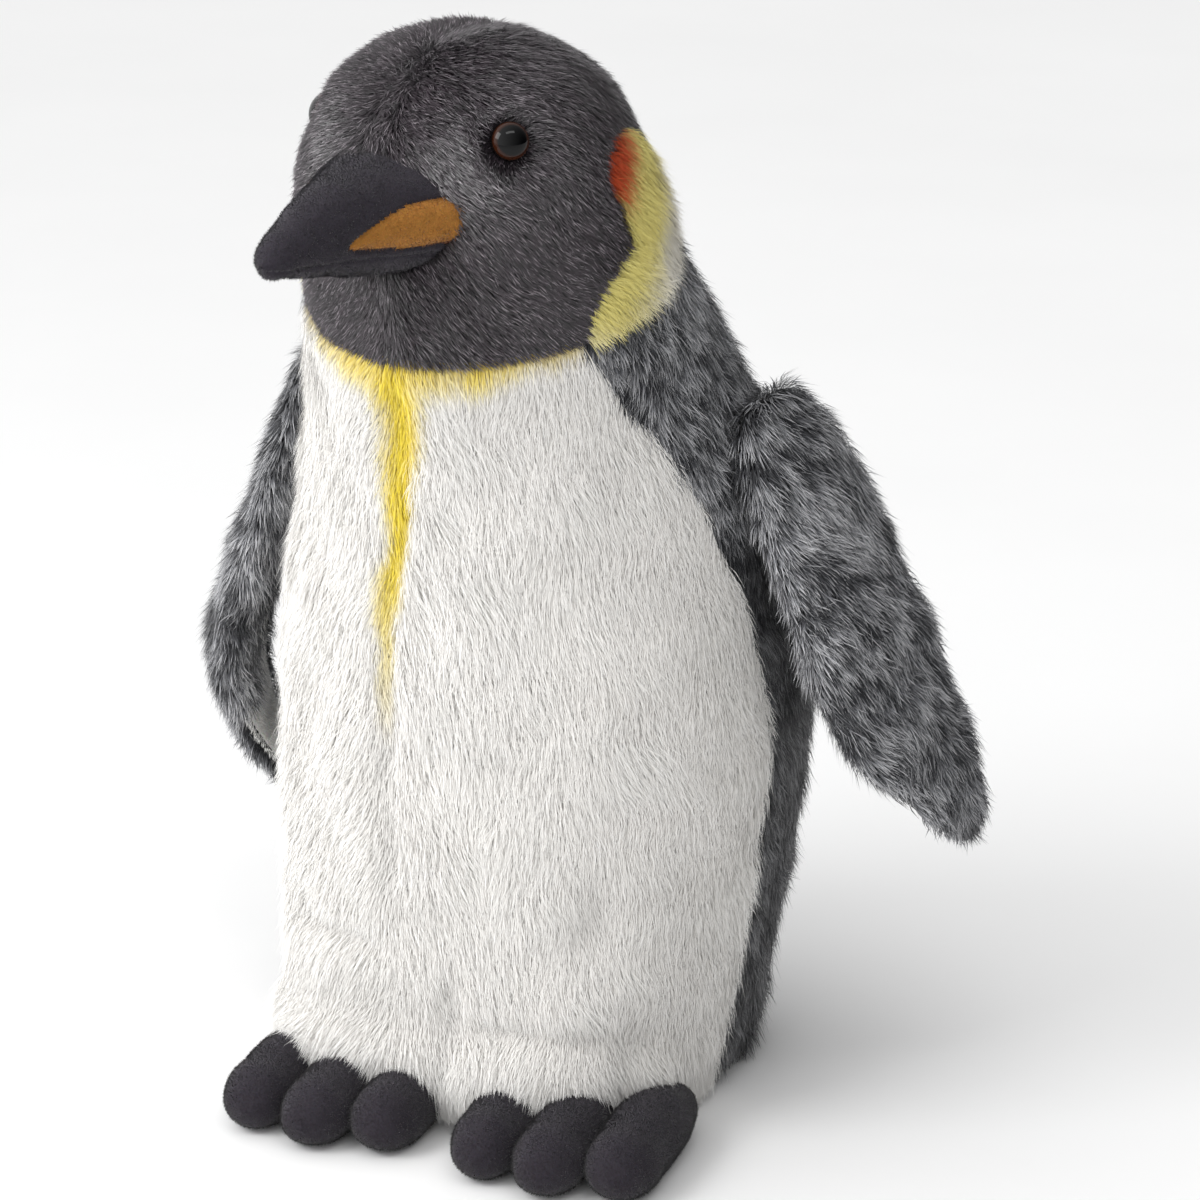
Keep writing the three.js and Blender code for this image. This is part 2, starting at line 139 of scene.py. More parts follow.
TOE = np.array([
    [-15, 0, 0],
    [-12, 9.5, 8],
    [0, 12.3, 11.8],
    [32, 13.2, 12.9],
    [48, 12.2, 11.2],
    [56, 8, 7],
    [59.5, 0, 0],
])
TOE_LIFT = 10.8
TOES = {"right": (-25.4, -4), "middle": (0, 2), "left": (25.4, -4)}
FEET = {"left": (54, math.radians(6)), "right": (-38, math.radians(4))}
FOOT_Y = -61
EYE = {"z": 371, "up": math.radians(18), "radius": 6.8, "dome": 5.2, "seat": 0.8}
EYE_SIDES = {
    "left": {"side": 1, "azimuth": math.radians(51), "sunk": 1.2},
    "right": {"side": -1, "azimuth": math.radians(55), "sunk": 3.4},
}


# ------------------------------------------------------------------ small maths
def srgb(code):
    """A linear colour from a hexadecimal one."""
    values = np.array([int(code[i:i + 2], 16) / 255 for i in (0, 2, 4)])
    return np.where(values <= 0.04045, values / 12.92, ((values + 0.055) / 1.055) ** 2.4)


def smoothstep(low, high, value):
    t = np.clip((value - low) / (high - low), 0, 1)
    return t * t * (3 - 2 * t)


def unit(vectors):
    length = np.linalg.norm(vectors, axis=-1, keepdims=True)
    return vectors / np.maximum(length, 1e-9)


def lattice(cell, seed):
    """A repeatable random number from 0 to 1 for each whole-numbered cell."""
    mixed = (cell[..., 0] * 73856093) ^ (cell[..., 1] * 19349663) ^ (cell[..., 2] * 83492791)
    mixed = (mixed ^ (seed * 668265263)) & 0xFFFFFFFF
    for shift, factor in ((15, 2246822519), (13, 3266489917)):
        mixed = ((mixed ^ (mixed >> shift)) * factor) & 0xFFFFFFFF
    return (mixed ^ (mixed >> 16)) / 4294967296.0


def noise(points, size, seed):
    """Smooth noise from -1 to 1 whose features are about size across."""
    scaled = points / size
    low = np.floor(scaled).astype(np.int64)
    t = scaled - low
    t = t * t * (3 - 2 * t)
    total = 0
    for corner in np.ndindex(2, 2, 2):
        weight = np.prod(np.where(corner, t, 1 - t), axis=-1)
        total = total + weight * lattice(low + np.array(corner), seed)
    return 2 * total - 1


def noise_vectors(points, size, seed):
    return np.stack([noise(points, size, seed + k) for k in range(3)], axis=-1)


def nearest_clump(points, size, seed):
    """The nearest of a jittered lattice of clump centres, and a random number of its own."""
    home = np.floor(points / size).astype(np.int64)
    best = np.full(len(points), np.inf)
    centre = np.zeros_like(points)
    label = np.zeros(len(points))
    for step in np.ndindex(3, 3, 3):
        cell = home + np.array(step) - 1
        jitter = np.stack([lattice(cell, seed + k) for k in range(3)], axis=-1)
        place = (cell + jitter) * size
        distance = ((points - place) ** 2).sum(-1)
        nearer = distance < best
        best = np.where(nearer, distance, best)
        centre[nearer] = place[nearer]
        label[nearer] = lattice(cell[nearer], seed + 7)
    return centre, label


def curve_through(table, samples):
    """A table's rows as a smooth curve, evenly spaced along its first two columns."""
    table = np.asarray(table, float)
    at = np.concatenate([[0], np.cumsum(np.linalg.norm(np.diff(table[:, :2], axis=0), axis=1))])
    slope = np.stack([np.gradient(table[:, k], at) for k in range(table.shape[1])], axis=1)
    want = np.linspace(0, at[-1], samples)
    i = np.clip(np.searchsorted(at, want, side="right") - 1, 0, len(at) - 2)
    gap = at[i + 1] - at[i]
    t = ((want - at[i]) / gap)[:, None]
    gap = gap[:, None]
    return (
        (2 * t**3 - 3 * t**2 + 1) * table[i] + (t**3 - 2 * t**2 + t) * gap * slope[i]
        + (3 * t**2 - 2 * t**3) * table[i + 1] + (t**3 - t**2) * gap * slope[i + 1]
    )


def round_outline(points, per_side=8):
    """A smooth closed outline through points, as a polygon."""
    count = len(points)
    out = []
    for i in range(count):
        a, b, c, d = (points[(i + k - 1) % count] for k in range(4))
        for t in np.arange(per_side) / per_side:
            out.append(0.5 * (2 * b + (c - a) * t + (2 * a - 5 * b + 4 * c - d) * t**2
                              + (3 * b - a - 3 * c + d) * t**3))
    return np.array(out)


def outline_distance(outline, y, z):
    """How far points lie inside a closed outline: positive inside, negative outside."""
    inside = np.zeros(y.shape, bool)
    nearest = np.full(y.shape, np.inf)
    for (ay, az), (by, bz) in zip(outline, np.roll(outline, -1, axis=0)):
        crosses = (az > z) != (bz > z)
        rise = bz - az if abs(bz - az) > 1e-9 else 1e-9
        inside ^= crosses & (y < (by - ay) * (z - az) / rise + ay)
        t = np.clip(((y - ay) * (by - ay) + (z - az) * (bz - az))
                    / max((by - ay) ** 2 + (bz - az) ** 2, 1e-9), 0, 1)
        nearest = np.minimum(nearest, np.hypot(y - ay - t * (by - ay), z - az - t * (bz - az)))
    return np.where(inside, nearest, -nearest)


def turned(points, angle):
    """Points turned about the upright axis."""
    c, s = np.cos(angle), np.sin(angle)
    x, y = points[..., 0], points[..., 1]
    return np.stack([x * c - y * s, x * s + y * c, points[..., 2]], axis=-1)


def twisted(points):
    """Points of the body or head, turned as the figure twists."""
    return turned(points, TWIST["angle"] * smoothstep(TWIST["low"], TWIST["high"], points[..., 2]))


# ------------------------------------------------------------------ the figure's surface
PROFILE = curve_through(FIGURE, 600)
SKIN_INSET = 1.6  # how far the fabric lies inside the CAD's outer surface
DEEPEST = -1.4  # as far as a crease may sink the fabric, so that it stays outside the filling


def figure_points(row, theta, inset=SKIN_INSET):
    """Points of the figure at profile rows (fractions allowed) and angles from its front."""
    columns = [np.interp(row, np.arange(len(PROFILE)), PROFILE[:, k]) for k in range(5)]
    z, a, b, y, squareness = columns
    a, b = np.maximum(a - inset, 0), np.maximum(b - inset, 0)
    s, c = np.sin(theta), np.cos(theta)
    grow = (np.abs(s) ** squareness + np.abs(c) ** squareness) ** (-1 / squareness)
    squeeze = (TOP - inset) / TOP
    return np.stack([a * s * grow, y - b * c * grow, inset * 0.5 + z * squeeze], axis=-1)


def above_neck(points):
    """How far points lie above the neck seam's plane."""
    tilt = NECK["tilt"]
    return -(points[..., 1] - NECK["y"]) * np.sin(tilt) + (points[..., 2] - NECK["z"]) * np.cos(tilt)


ANGLES = np.linspace(0, np.pi, 181)


def neck_rows():
    """The profile row at which the figure crosses the neck seam, for each angle."""
    rows = np.arange(len(PROFILE))
    found = []
    for angle in ANGLES:
        height = above_neck(figure_points(rows, np.full(len(rows), angle)))
        k = int(np.argmax(height > 0))
        found.append(k - height[k] / (height[k] - height[k - 1]))
    return np.array(found)


def seam_angles():
    """The angle from the front of the seam between belly and back, for each profile row."""
    found = []
    for row in range(len(PROFILE) - 1):
        y = figure_points(np.full(len(ANGLES), row), ANGLES)[:, 1]
        seam = np.interp(PROFILE[row, 0], SIDE_SEAM[:, 1], SIDE_SEAM[:, 0])
        found.append(np.interp(seam, y, ANGLES))
    return np.array(found + found[-1:])


NECK_ROWS = neck_rows()
SEAM_ANGLES = seam_angles()


def streak_x(z):
    """Where the belly's centre crease and its yellow streak run, across from the middle."""
    return np.interp(z, [150, 165, 212, 262, 300], [-17, -17, -10, 0, 0])


DIMPLES = [  # across, height, half sizes and depth of the belly's dimples
    (-40, 72, 16, 5, 0.9), (6, 44, 5, 18, 0.9), (38, 46, 26, 5, 0.8), (58, 92, 7, 16, 0.6),
    (-14, 120, 6, 14, 0.5), (30, 150, 12, 6, 0.4), (-52, 150, 6, 16, 0.4), (66, 40, 6, 14, 0.6),
]


def creases(points):
    """How deep in a crease or dimple of the belly points are, from 0 to about 1."""
    x, z = points[..., 0], points[..., 2]
    wavy = x + 3 * noise(points, 26, 14)
    deep = 0.8 * np.exp(-((wavy - streak_x(z)) / 5.5) ** 2)
    deep = deep * smoothstep(60, 110, z) * smoothstep(305, 270, z)
    for across, height, wide, tall, depth in DIMPLES:
        deep = np.maximum(deep, depth * np.exp(-((wavy - across) / wide) ** 2 - ((z - height) / tall) ** 2))
    return deep * (points[..., 1] < 0)


def relief(points, theta):
    """The body's soft bulges and creases, in millimetres outwards."""
    z = points[..., 2]
    front = smoothstep(1.5, 0.9, np.abs(theta))
    legs = np.exp(-((np.abs(theta) - 0.62) / 0.33) ** 2 - ((z - 40) / 30) ** 2)
    belly = np.exp(-((theta - 0.35) / 0.5) ** 2 - ((z - 118) / 42) ** 2)
    soft = 1.5 * noise(points, 46, 11) + 0.9 * noise(points, 21, 12)
    ends = smoothstep(0, 22, z) * smoothstep(312, 280, z)
    out = front * (3.4 * legs + 1.6 * belly - 3.0 * creases(points)) + soft
    hem = 4.5 * smoothstep(1.25, 0.85, np.abs(theta)) * np.exp(-((z - 24) / 12) ** 2)
    return np.maximum(out * ends, DEEPEST) + hem


def body_panel(side, part, across=60, up=110):
    """A grid of points over one sewn panel of the body."""
    u = np.linspace(0, 1, across)[None, :]
    v = np.linspace(0, 1, up)[:, None]
    theta = u * 1.2 + 0 * v
    row = 2 + v * (np.interp(np.abs(theta), ANGLES, NECK_ROWS) - 2)
    for _ in range(12):
        seam = np.interp(row, np.arange(len(PROFILE)), SEAM_ANGLES)
        theta = u * seam if part == "belly" else seam + u * (np.pi - seam)
        row = 2 + v * (np.interp(theta, ANGLES, NECK_ROWS) - 2)
    theta = side * theta
    flat = figure_points(row, theta)
    out = np.stack([np.sin(theta), -np.cos(theta), 0 * theta], axis=-1)
    return flat + out * relief(flat, theta)[..., None]


def hood_panel(side, across=90, up=80):
    """A grid of points over one half of the hood, from the neck seam to the crown."""
    theta = side * np.linspace(0, np.pi, across)[None, :]
    low = np.interp(np.abs(theta), ANGLES, NECK_ROWS)
    v = np.linspace(0, 1, up)[:, None]
    row = low + v * (len(PROFILE) - 1.5 - low)
    flat = figure_points(row, theta + 0 * v)
    seam = np.exp(-(flat[..., 0] / 5) ** 2) * smoothstep(20, -20, flat[..., 1])
    brow = np.exp(-((np.abs(flat[..., 0]) - 26) / 20) ** 2 - ((flat[..., 2] - 378) / 14) ** 2)
    socket = np.zeros(flat.shape[:2])
    for centre in EYES.values():
        socket = np.maximum(socket, np.exp(-((np.linalg.norm(flat - centre, axis=-1) / 9) ** 2)))
    out = unit(flat - np.array([0, HEAD_Y, 335]))
    rise = 1.6 * brow + 0.5 * noise(flat, 30, 21) - 1.0 * seam - 1.6 * socket
    return flat + out * np.maximum(rise, DEEPEST)[..., None]


# ------------------------------------------------------------------ meshes
def grid_faces(rows, columns, flip=False, keep=None):
    """Quads over a grid of points, turned to face outwards, where keep allows."""
    i, j = np.meshgrid(np.arange(rows - 1), np.arange(columns - 1), indexing="ij")
    if keep is not None:
        i, j = i[keep], j[keep]
    a = (i * columns + j).ravel()
    quads = np.stack([a, a + 1, a + columns + 1, a + columns], axis=1)
    return quads[:, ::-1] if flip else quads


def tidy(points, faces):
    """Points and faces without unused or doubled points, and with no collapsed faces."""
    keys = np.round(points, 4)
    _, first, same = np.unique(keys, axis=0, return_index=True, return_inverse=True)
    same = same.ravel()
    faces = same[faces]
    points = points[first]
    out = []
    for face in faces:
        loop = [p for k, p in enumerate(face) if p != face[k - 1]]
        if len(set(loop)) >= 3:
            out.append(loop)
    used = np.unique(np.concatenate([np.array(f) for f in out]))
    lookup = np.full(len(points), -1)
    lookup[used] = np.arange(len(used))
    return points[used], [[int(lookup[p]) for p in f] for f in out]


def normals_of(points, faces):
    """Smooth normals at the points of a mesh of triangles and quads."""
    total = np.zeros_like(points)
    for face in faces:
        a, b, c = points[face[0]], points[face[1]], points[face[2]]
        n = np.cross(b - a, c - a)
        if len(face) == 4:
            n = n + np.cross(c - a, points[face[3]] - a)
        for p in face:
            total[p] += n
    return unit(total)


def triangles_of(faces):
    """Faces of three or four corners as triangles."""
    out = []
    for face in faces:
        for k in range(1, len(face) - 1):
            out.append([face[0], face[k], face[k + 1]])
    return np.array(out)


def add_object(name, mesh, body, node=None):
    """A mesh as a piece that rides on a body and may replace a CAD node."""
    piece = bpy.data.objects.new(name, mesh)
    bpy.context.scene.collection.objects.link(piece)
    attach(piece, body)
    if node:
        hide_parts(node)
    return piece


def paint(mesh, colours):
    """Linear colours, one for each point, as the attribute that the materials read."""
    layer = mesh.color_attributes.new(name="Pile", type="FLOAT_COLOR", domain="POINT")
    rgba = np.ones((len(colours), 4))
    rgba[:, :3] = colours
    layer.data.foreach_set("color", rgba.ravel())


def skin(name, points, faces, body, node, material, colours):
    """A panel of fabric backing. Returns what the pile grows from."""
    points, faces = tidy(points, faces)
    mesh = bpy.data.meshes.new(name)
    mesh.from_pydata((points * MM).tolist(), [], faces)
    paint(mesh, colours(points))
    mesh.materials.append(material)
    mesh.shade_smooth()
    mesh.update()
    piece = add_object(name, mesh, body, node)
    return points, faces


def coat(name, ground, body, material, style, comb, colours, seed,
         trim=None, raised=None, keep=None, warp=None):
    """A coat of pile on a mesh: tapered strands that lie, clump and part as real pile does."""
    points, faces = ground
    normals = normals_of(points, faces)
    tris = triangles_of(faces)
    a, b, c = (points[tris[:, k]] for k in range(3))
    total = np.cumsum(np.linalg.norm(np.cross(b - a, c - a), axis=1) / 2)
    count = min(int(total[-1] * style["density"]), MOST_STRANDS)
    count = int(count * (1))
    rng = np.random.default_rng(seed)
    pick = np.searchsorted(total, (np.arange(count) + rng.random(count)) / count * total[-1])
    pick = np.minimum(pick, len(tris) - 1)
    r1, r2 = np.sqrt(rng.random(count)), rng.random(count)
    weights = np.stack([1 - r1, r1 * (1 - r2), r1 * r2], axis=1)
    root = np.einsum("nk,nkd->nd", weights, points[tris[pick]])
    normal = unit(np.einsum("nk,nkd->nd", weights, normals[tris[pick]]))
    if keep is not None:
        chosen = keep(root)
        root, normal = root[chosen], normal[chosen]
    count = len(root)

    along = comb(root, normal)
    along = along + style["wander"] * noise_vectors(root, style["wander_size"], seed % 7 + 31)
    along = along + style["stray"] * rng.normal(size=(count, 3))
    along = unit(along - (along * normal).sum(1, keepdims=True) * normal)
    length = style["length"] * (1 + style["vary"] * rng.uniform(-1, 1, count))
    length = length * (1 + 0.15 * noise(root, 14, 41))
    if trim is not None:
        length = length * trim(root)
    lift = style["lift"] + style["lift_vary"] * rng.normal(size=count)
    lift = lift + style["lift_wave"] * noise(root, style["wander_size"] * 1.3, 51)
    if raised is not None:
        lift = lift + raised(root)
    low, high = np.clip(lift + 0.3, 0.1, 1.5)[:, None], np.clip(lift - 0.25, -0.2, 1.4)[:, None]
    scale = length[:, None]
    middle = root + scale * 0.5 * (normal * np.sin(low) + along * np.cos(low))
    tip = middle + scale * 0.5 * (normal * np.sin(high) + along * np.cos(high))

    centre, label = nearest_clump(root, style["clump"], 61)
    pull = centre - root
    pull = pull - (pull * normal).sum(1, keepdims=True) * normal
    pull = pull * np.minimum(1, 0.5 * scale / np.maximum(np.linalg.norm(pull, axis=1, keepdims=True), 1e-6))
    middle = middle + pull * style["pull"] * 0.3
    tip = tip + pull * style["pull"]
    root = root - normal * ROOT_SUNK

    across = unit(np.cross(tip - root, normal))
    roll = 0.25 * rng.normal(size=count)[:, None]
    across = unit(across * np.cos(roll) + unit(np.cross(across, tip - root)) * np.sin(roll))
    wide = style["width"] * (0.75 + 0.5 * rng.random(count))[:, None] / 2
    if style["bend"]:
        corners = np.stack([root, middle + across * wide, tip, middle - across * wide], axis=1)
    else:
        corners = np.stack([root - across * wide, root + across * wide, tip], axis=1)
    facing = (np.cross(corners[:, 1] - corners[:, 0], corners[:, -1] - corners[:, 0]) * normal).sum(1)
    turned_over = [0, 3, 2, 1] if style["bend"] else [1, 0, 2]
    corners[facing < 0] = corners[facing < 0][:, turned_over]
    if warp is not None:
        corners = warp(corners)
        normal = unit(warp(root + normal) - warp(root))
    corners[..., 2] = np.maximum(corners[..., 2], FLOOR_CLEAR)
    own = np.cross(corners[:, 1] - corners[:, 0], corners[:, -1] - corners[:, 0])
    shading = unit(normal * (1 - style["relief"]) + unit(own) * style["relief"])

    low, mid, high = colours(root, label, rng)
    tones = np.stack([low, mid, high, mid] if style["bend"] else [low, low, high], axis=1)
    mesh = strand_mesh(name, corners, tones, shading)
    mesh.materials.append(material)
    return add_object(name, mesh, body)


def strand_mesh(name, corners, tones, shading):
    """Strands as one mesh, each with a cell of its own in the bake's UVs and a soft normal."""
    count, each = corners.shape[:2]
    faces = np.array([[0, 1, 3], [1, 2, 3]] if each == 4 else [[0, 1, 2]])
    mesh = bpy.data.meshes.new(name)
    mesh.vertices.add(count * each)
    mesh.vertices.foreach_set("co", (corners * MM).astype(np.float32).ravel())
    loops = (np.arange(count)[:, None] * each + faces.ravel()).ravel()
    mesh.loops.add(len(loops))
    mesh.loops.foreach_set("vertex_index", loops.astype(np.int32))
    mesh.polygons.add(count * len(faces))
    mesh.polygons.foreach_set("loop_start", np.arange(0, len(loops), 3, dtype=np.int32))
    mesh.update(calc_edges=True)
    mesh.shade_smooth()
    paint(mesh, tones.reshape(-1, 3))
    side = math.ceil(math.sqrt(count))
    cell = np.stack([np.arange(count) % side, np.arange(count) // side], axis=1)
    spot = np.array([[0.5, 0.1], [0.9, 0.5], [0.5, 0.9], [0.1, 0.5]])
    corner = spot[faces.ravel()] if each == 4 else np.array([[0.1, 0.1], [0.9, 0.1], [0.5, 0.9]])
    uv = (cell[:, None, :] + corner) / side
    mesh.uv_layers.new(name="OFBake").data.foreach_set("uv", uv.astype(np.float32).ravel())
    mesh.normals_split_custom_set_from_vertices(np.repeat(shading, each, axis=0))
    return mesh


# ------------------------------------------------------------------ materials
def material(name, roughness, sheen=0.0, specular=0.5, sheen_roughness=0.5):
    """A principled material and the pieces of it that the makers below go on to use."""
    made = bpy.data.materials.new(name)
    made.use_nodes = True
    nodes, links = made.node_tree.nodes, made.node_tree.links
    shader = nodes["Principled BSDF"]
    shader.inputs["Roughness"].default_value = roughness
    shader.inputs["Specular IOR Level"].default_value = specular
    shader.inputs["Sheen Weight"].default_value = sheen
    shader.inputs["Sheen Roughness"].default_value = sheen_roughness
    return made, nodes, links, shader


def pile_material(name, roughness, sheen=0.0, specular=0.3):
    """A material that takes its colour from the mesh's own attribute, as pile and the eyes do."""
    made, nodes, links, shader = material(name, roughness, sheen, specular)
    colour = nodes.new("ShaderNodeAttribute")
    colour.attribute_name = "Pile"
    links.new(colour.outputs["Color"], shader.inputs["Base Color"])
    return made


def backing_material(name, roughness=0.95, scale=700):
    """Knitted backing under the pile: the pile's colour, mottled, with a fine knit in relief."""
    made, nodes, links, shader = material(name, roughness, 0.15, 0.2)
    colour = nodes.new("ShaderNodeAttribute")
    colour.attribute_name = "Pile"
    place = nodes.new("ShaderNodeTexCoord")
    grain = nodes.new("ShaderNodeTexNoise")
    grain.inputs["Scale"].default_value = scale
    grain.inputs["Detail"].default_value = 4
    mix = nodes.new("ShaderNodeMix")
    mix.data_type = "RGBA"
    mix.blend_type = "MULTIPLY"
    mix.inputs["Factor"].default_value = 0.35
    bump = nodes.new("ShaderNodeBump")
    bump.inputs["Strength"].default_value = 0.5
    bump.inputs["Distance"].default_value = 0.0006
    links.new(place.outputs["Object"], grain.inputs["Vector"])
    links.new(colour.outputs["Color"], mix.inputs["A"])
    links.new(grain.outputs["Color"], mix.inputs["B"])
    links.new(mix.outputs["Result"], shader.inputs["Base Color"])
    links.new(grain.outputs["Fac"], bump.inputs["Height"])
    links.new(bump.outputs["Normal"], shader.inputs["Normal"])
    return made


def plain_material(name, dark, light, scale, roughness, bump_mm=0.3, kind="noise", sheen=0.0):
    """A material whose colour and relief follow one procedural pattern."""
    made, nodes, links, shader = material(name, roughness, sheen, 0.3)
    place = nodes.new("ShaderNodeTexCoord")
    if kind == "weave":
        pattern = nodes.new("ShaderNodeTexWave")
        pattern.inputs["Distortion"].default_value = 2
        pattern.inputs["Detail"].default_value = 3
    elif kind == "pellets":
        pattern = nodes.new("ShaderNodeTexVoronoi")
    else:
        pattern = nodes.new("ShaderNodeTexNoise")
        pattern.inputs["Detail"].default_value = 8
    pattern.inputs["Scale"].default_value = scale
    value = pattern.outputs["Distance" if kind == "pellets" else "Fac"]
    ramp = nodes.new("ShaderNodeValToRGB")
    ramp.color_ramp.elements[0].color = (*srgb(dark), 1)
    ramp.color_ramp.elements[1].color = (*srgb(light), 1)
    bump = nodes.new("ShaderNodeBump")
    bump.inputs["Distance"].default_value = bump_mm * MM
    links.new(place.outputs["Object"], pattern.inputs["Vector"])
    links.new(value, ramp.inputs["Fac"])
    links.new(ramp.outputs["Color"], shader.inputs["Base Color"])
    links.new(value, bump.inputs["Height"])
    links.new(bump.outputs["Normal"], shader.inputs["Normal"])
    return made


PILE = {
    "white": pile_material("white_pile", 0.85, 0.1, 0.15),
    "grey": pile_material("grey_pile", 0.6, 0.1, 0.35),
    "black": pile_material("black_pile", 0.34, 0.0, 0.75),
    "ear": pile_material("ear_pile", 0.85, 0.1, 0.2),
    "fleece": pile_material("fleece_pile", 0.9, 0.25, 0.15),
    "velour": pile_material("velour_pile", 0.85, 0.2, 0.15),
}
BACKING = backing_material("knitted_backing")
FLEECE_BACKING = backing_material("fleece_backing", 0.95, 1400)

# ------------------------------------------------------------------ colours
WHITE_ROOT, WHITE_TIP = srgb("ebe7e2"), srgb("fbfaf7")
YELLOW_ROOT, YELLOW_TIP = srgb("f3d63c"), srgb("fce84e")
GREY_ROOT, GREY_MID, GREY_TIP = srgb("15161a"), srgb("7e7f84"), srgb("f6f6f8")
BLACK_ROOT, BLACK_TIP = srgb("1a151a"), srgb("4c4149")
# A painted highlight: the pale tip colour given to some black strands to stand for their glints.
PAINTED_GLINT = srgb("c4bac1")
FLEECE_ROOT, FLEECE_TIP = srgb("29262c"), srgb("47424b")
FOOT_ROOT, FOOT_TIP = srgb("211d21"), srgb("3a3338")
PATCH_ROOT, PATCH_TIP = srgb("9c6426"), srgb("c98f46")
EAR_ORANGE, EAR_YELLOW, EAR_CREAM = srgb("c94f28"), srgb("efe38c"), srgb("f3efe4")
VELOUR = srgb("f4f3f0")


def blend(low, high, share):
    share = np.asarray(share)[..., None]
    return low * (1 - share) + high * share


def yellow_share(points):
    """How yellow the belly is: a band under the hood and a streak down the centre crease."""
    x, z = points[:, 0], points[:, 2]
    front = points[:, 1] < -20
    below = -above_neck(points) + 1.5 * noise(points, 6, 71)
    reach = 5 + 12 * np.exp(-((x + 2) / 24) ** 2) + 5 * np.exp(-((x - 34) / 11) ** 2)
    band = smoothstep(reach * 1.25, reach * 0.1, below) * smoothstep(68, 54, np.abs(x))
    offset = np.abs(x - streak_x(z) + 1.2 * noise(points, 9, 72))
    half = np.interp(z, [140, 165, 212, 262, 300], [3.5, 5, 7, 10, 16])
    fade = np.interp(z, [142, 165, 200, 225, 262, 300], [0, 0.35, 0.9, 1, 1, 0.95])
    streak = smoothstep(half, half * 0.15, offset) * fade
    return np.clip(np.maximum(band * 0.95, streak) * front, 0, 1)


def white_colours(root, label, rng):
    # Each strand's tone varies at random and by clump, and is darkened in the belly's creases and dimples
    # as painted shade.
    tone = (1 + 0.03 * rng.normal(size=len(root)) + 0.03 * (label - 0.5) - 0.10 * creases(root))[:, None]
    shares = []
    for down in (0, 5, 9):
        spot = root - np.array([0, 0, down])
        shares.append(np.clip(yellow_share(spot) * (0.85 + 0.3 * rng.random(len(root))), 0, 1))
    low = blend(WHITE_ROOT, YELLOW_ROOT, shares[0])
    middle = blend((WHITE_ROOT + WHITE_TIP) / 2, (YELLOW_ROOT + YELLOW_TIP) / 2, shares[1])
    high = blend(WHITE_TIP, YELLOW_TIP, shares[2])
    return tuple(np.minimum(colour * tone, 0.97) for colour in (low, middle, high))


def grey_colours(root, label, rng):
    """Dark at the root and frosted at the tip, more in some tufts than in others."""
    count = len(root)
    patchy = 0.42 * noise(root, 13, 82) + 0.42 * noise(root, 5.5, 81)
    frost = np.clip(0.5 + 1.5 * (label - 0.5) + patchy + 0.25 * rng.normal(size=count), 0, 1)
    dark = GREY_ROOT * (0.7 + 0.5 * rng.random(count))[:, None]
    return dark, blend(GREY_ROOT, GREY_MID, 0.15 + 0.75 * frost), blend(GREY_ROOT * 1.6, GREY_TIP, frost)


def back_colours(root, label, rng):
    """The same plush on the back, darker all through on its sides below the shoulders: partly less frost,
    partly painted shade.
    """
    shade_and_less_frost = (1 - 0.55 * smoothstep(250, 200, root[:, 2]))[:, None]
    return tuple(colour * shade_and_less_frost for colour in grey_colours(root, label, rng))


def black_colours(root, label, rng):
    count = len(root)
    tone = (0.3 + 0.6 * rng.random(count) + 0.7 * (label - 0.5))[:, None]
    tone = np.maximum(tone, 0.15)
    tip = BLACK_TIP * tone
    # Painted glints: about one strand in seven gets a pale tip that stands for a highlight.
    glinting = rng.random(count) < 0.14
    tip[glinting] = PAINTED_GLINT
    return BLACK_ROOT * tone, (BLACK_ROOT + BLACK_TIP) / 2 * tone, tip


def ear_shares(points):
    """How orange and how cream the ear patch is, from its upper front to its lower back."""
    y, z = points[:, 1], points[:, 2]
    front = -y * 0.80 + (z - 330) * 0.55
    orange = smoothstep(34, 44, front) * smoothstep(330, 340, z)
    cream = np.maximum(smoothstep(25, 2, front), 0.85 * smoothstep(312, 288, z))
    return orange, cream


def ear_colours(root, label, rng):
    jitter = root + 1.6 * rng.normal(size=root.shape)
    orange, cream = ear_shares(jitter)
    base = blend(blend(np.broadcast_to(EAR_YELLOW, root.shape), EAR_CREAM, cream), EAR_ORANGE, orange)
    return base * 0.8, base * 0.95, np.minimum(base * 1.05, 0.96)


def fleece_colours(low, high):
    def colours(root, label, rng):
        tone = (0.7 + 0.6 * rng.random(len(root)) + 0.25 * noise(root, 3, 91))[:, None]
        return low * tone, (low + high) / 2 * tone, high * tone
    return colours


def flat(colour):
    return lambda points: np.broadcast_to(colour, (len(points), 3))


def belly_backing(points):
    return blend(WHITE_TIP, YELLOW_ROOT, yellow_share(points)) * 0.9


# ------------------------------------------------------------------ how the pile lies
def downwards(points, normals):
    return np.broadcast_to(np.array([0.0, 0.0, -1.0]), points.shape)


def belly_comb(points, normals):
    """Downwards, and away from the centre crease."""
    offset = points[:, 0] - streak_x(points[:, 2])
    away = 0.45 * np.tanh(offset / 9) * np.exp(-np.abs(offset) / 45)
    return np.stack([away, 0 * away, -np.ones(len(points))], axis=1)


EYES = {}  # each eye's centre in the untwisted figure


def head_comb(points, normals):
    """Away from the centre seam and down, and outwards round each eye."""
    x = points[:, 0]
    away = np.stack([0.9 * np.tanh(x / 10), 0.45 + 0 * x, -0.75 + 0 * x], axis=1)
    for centre in EYES.values():
        offset = points - centre
        near = np.exp(-((np.linalg.norm(offset, axis=1) / 13) ** 2))[:, None]
        away = away * (1 - near) + unit(offset) * near
    return away


def head_trim(points):
    """Short pile round each eye."""
    share = np.ones(len(points))
    for name, centre in EYES.items():
        shortest = 0.35 if name == "left" else 0.8
        distance = np.linalg.norm(points - centre, axis=1)
        share = share * (shortest + (1 - shortest) * smoothstep(6.5, 14, distance))
    return share


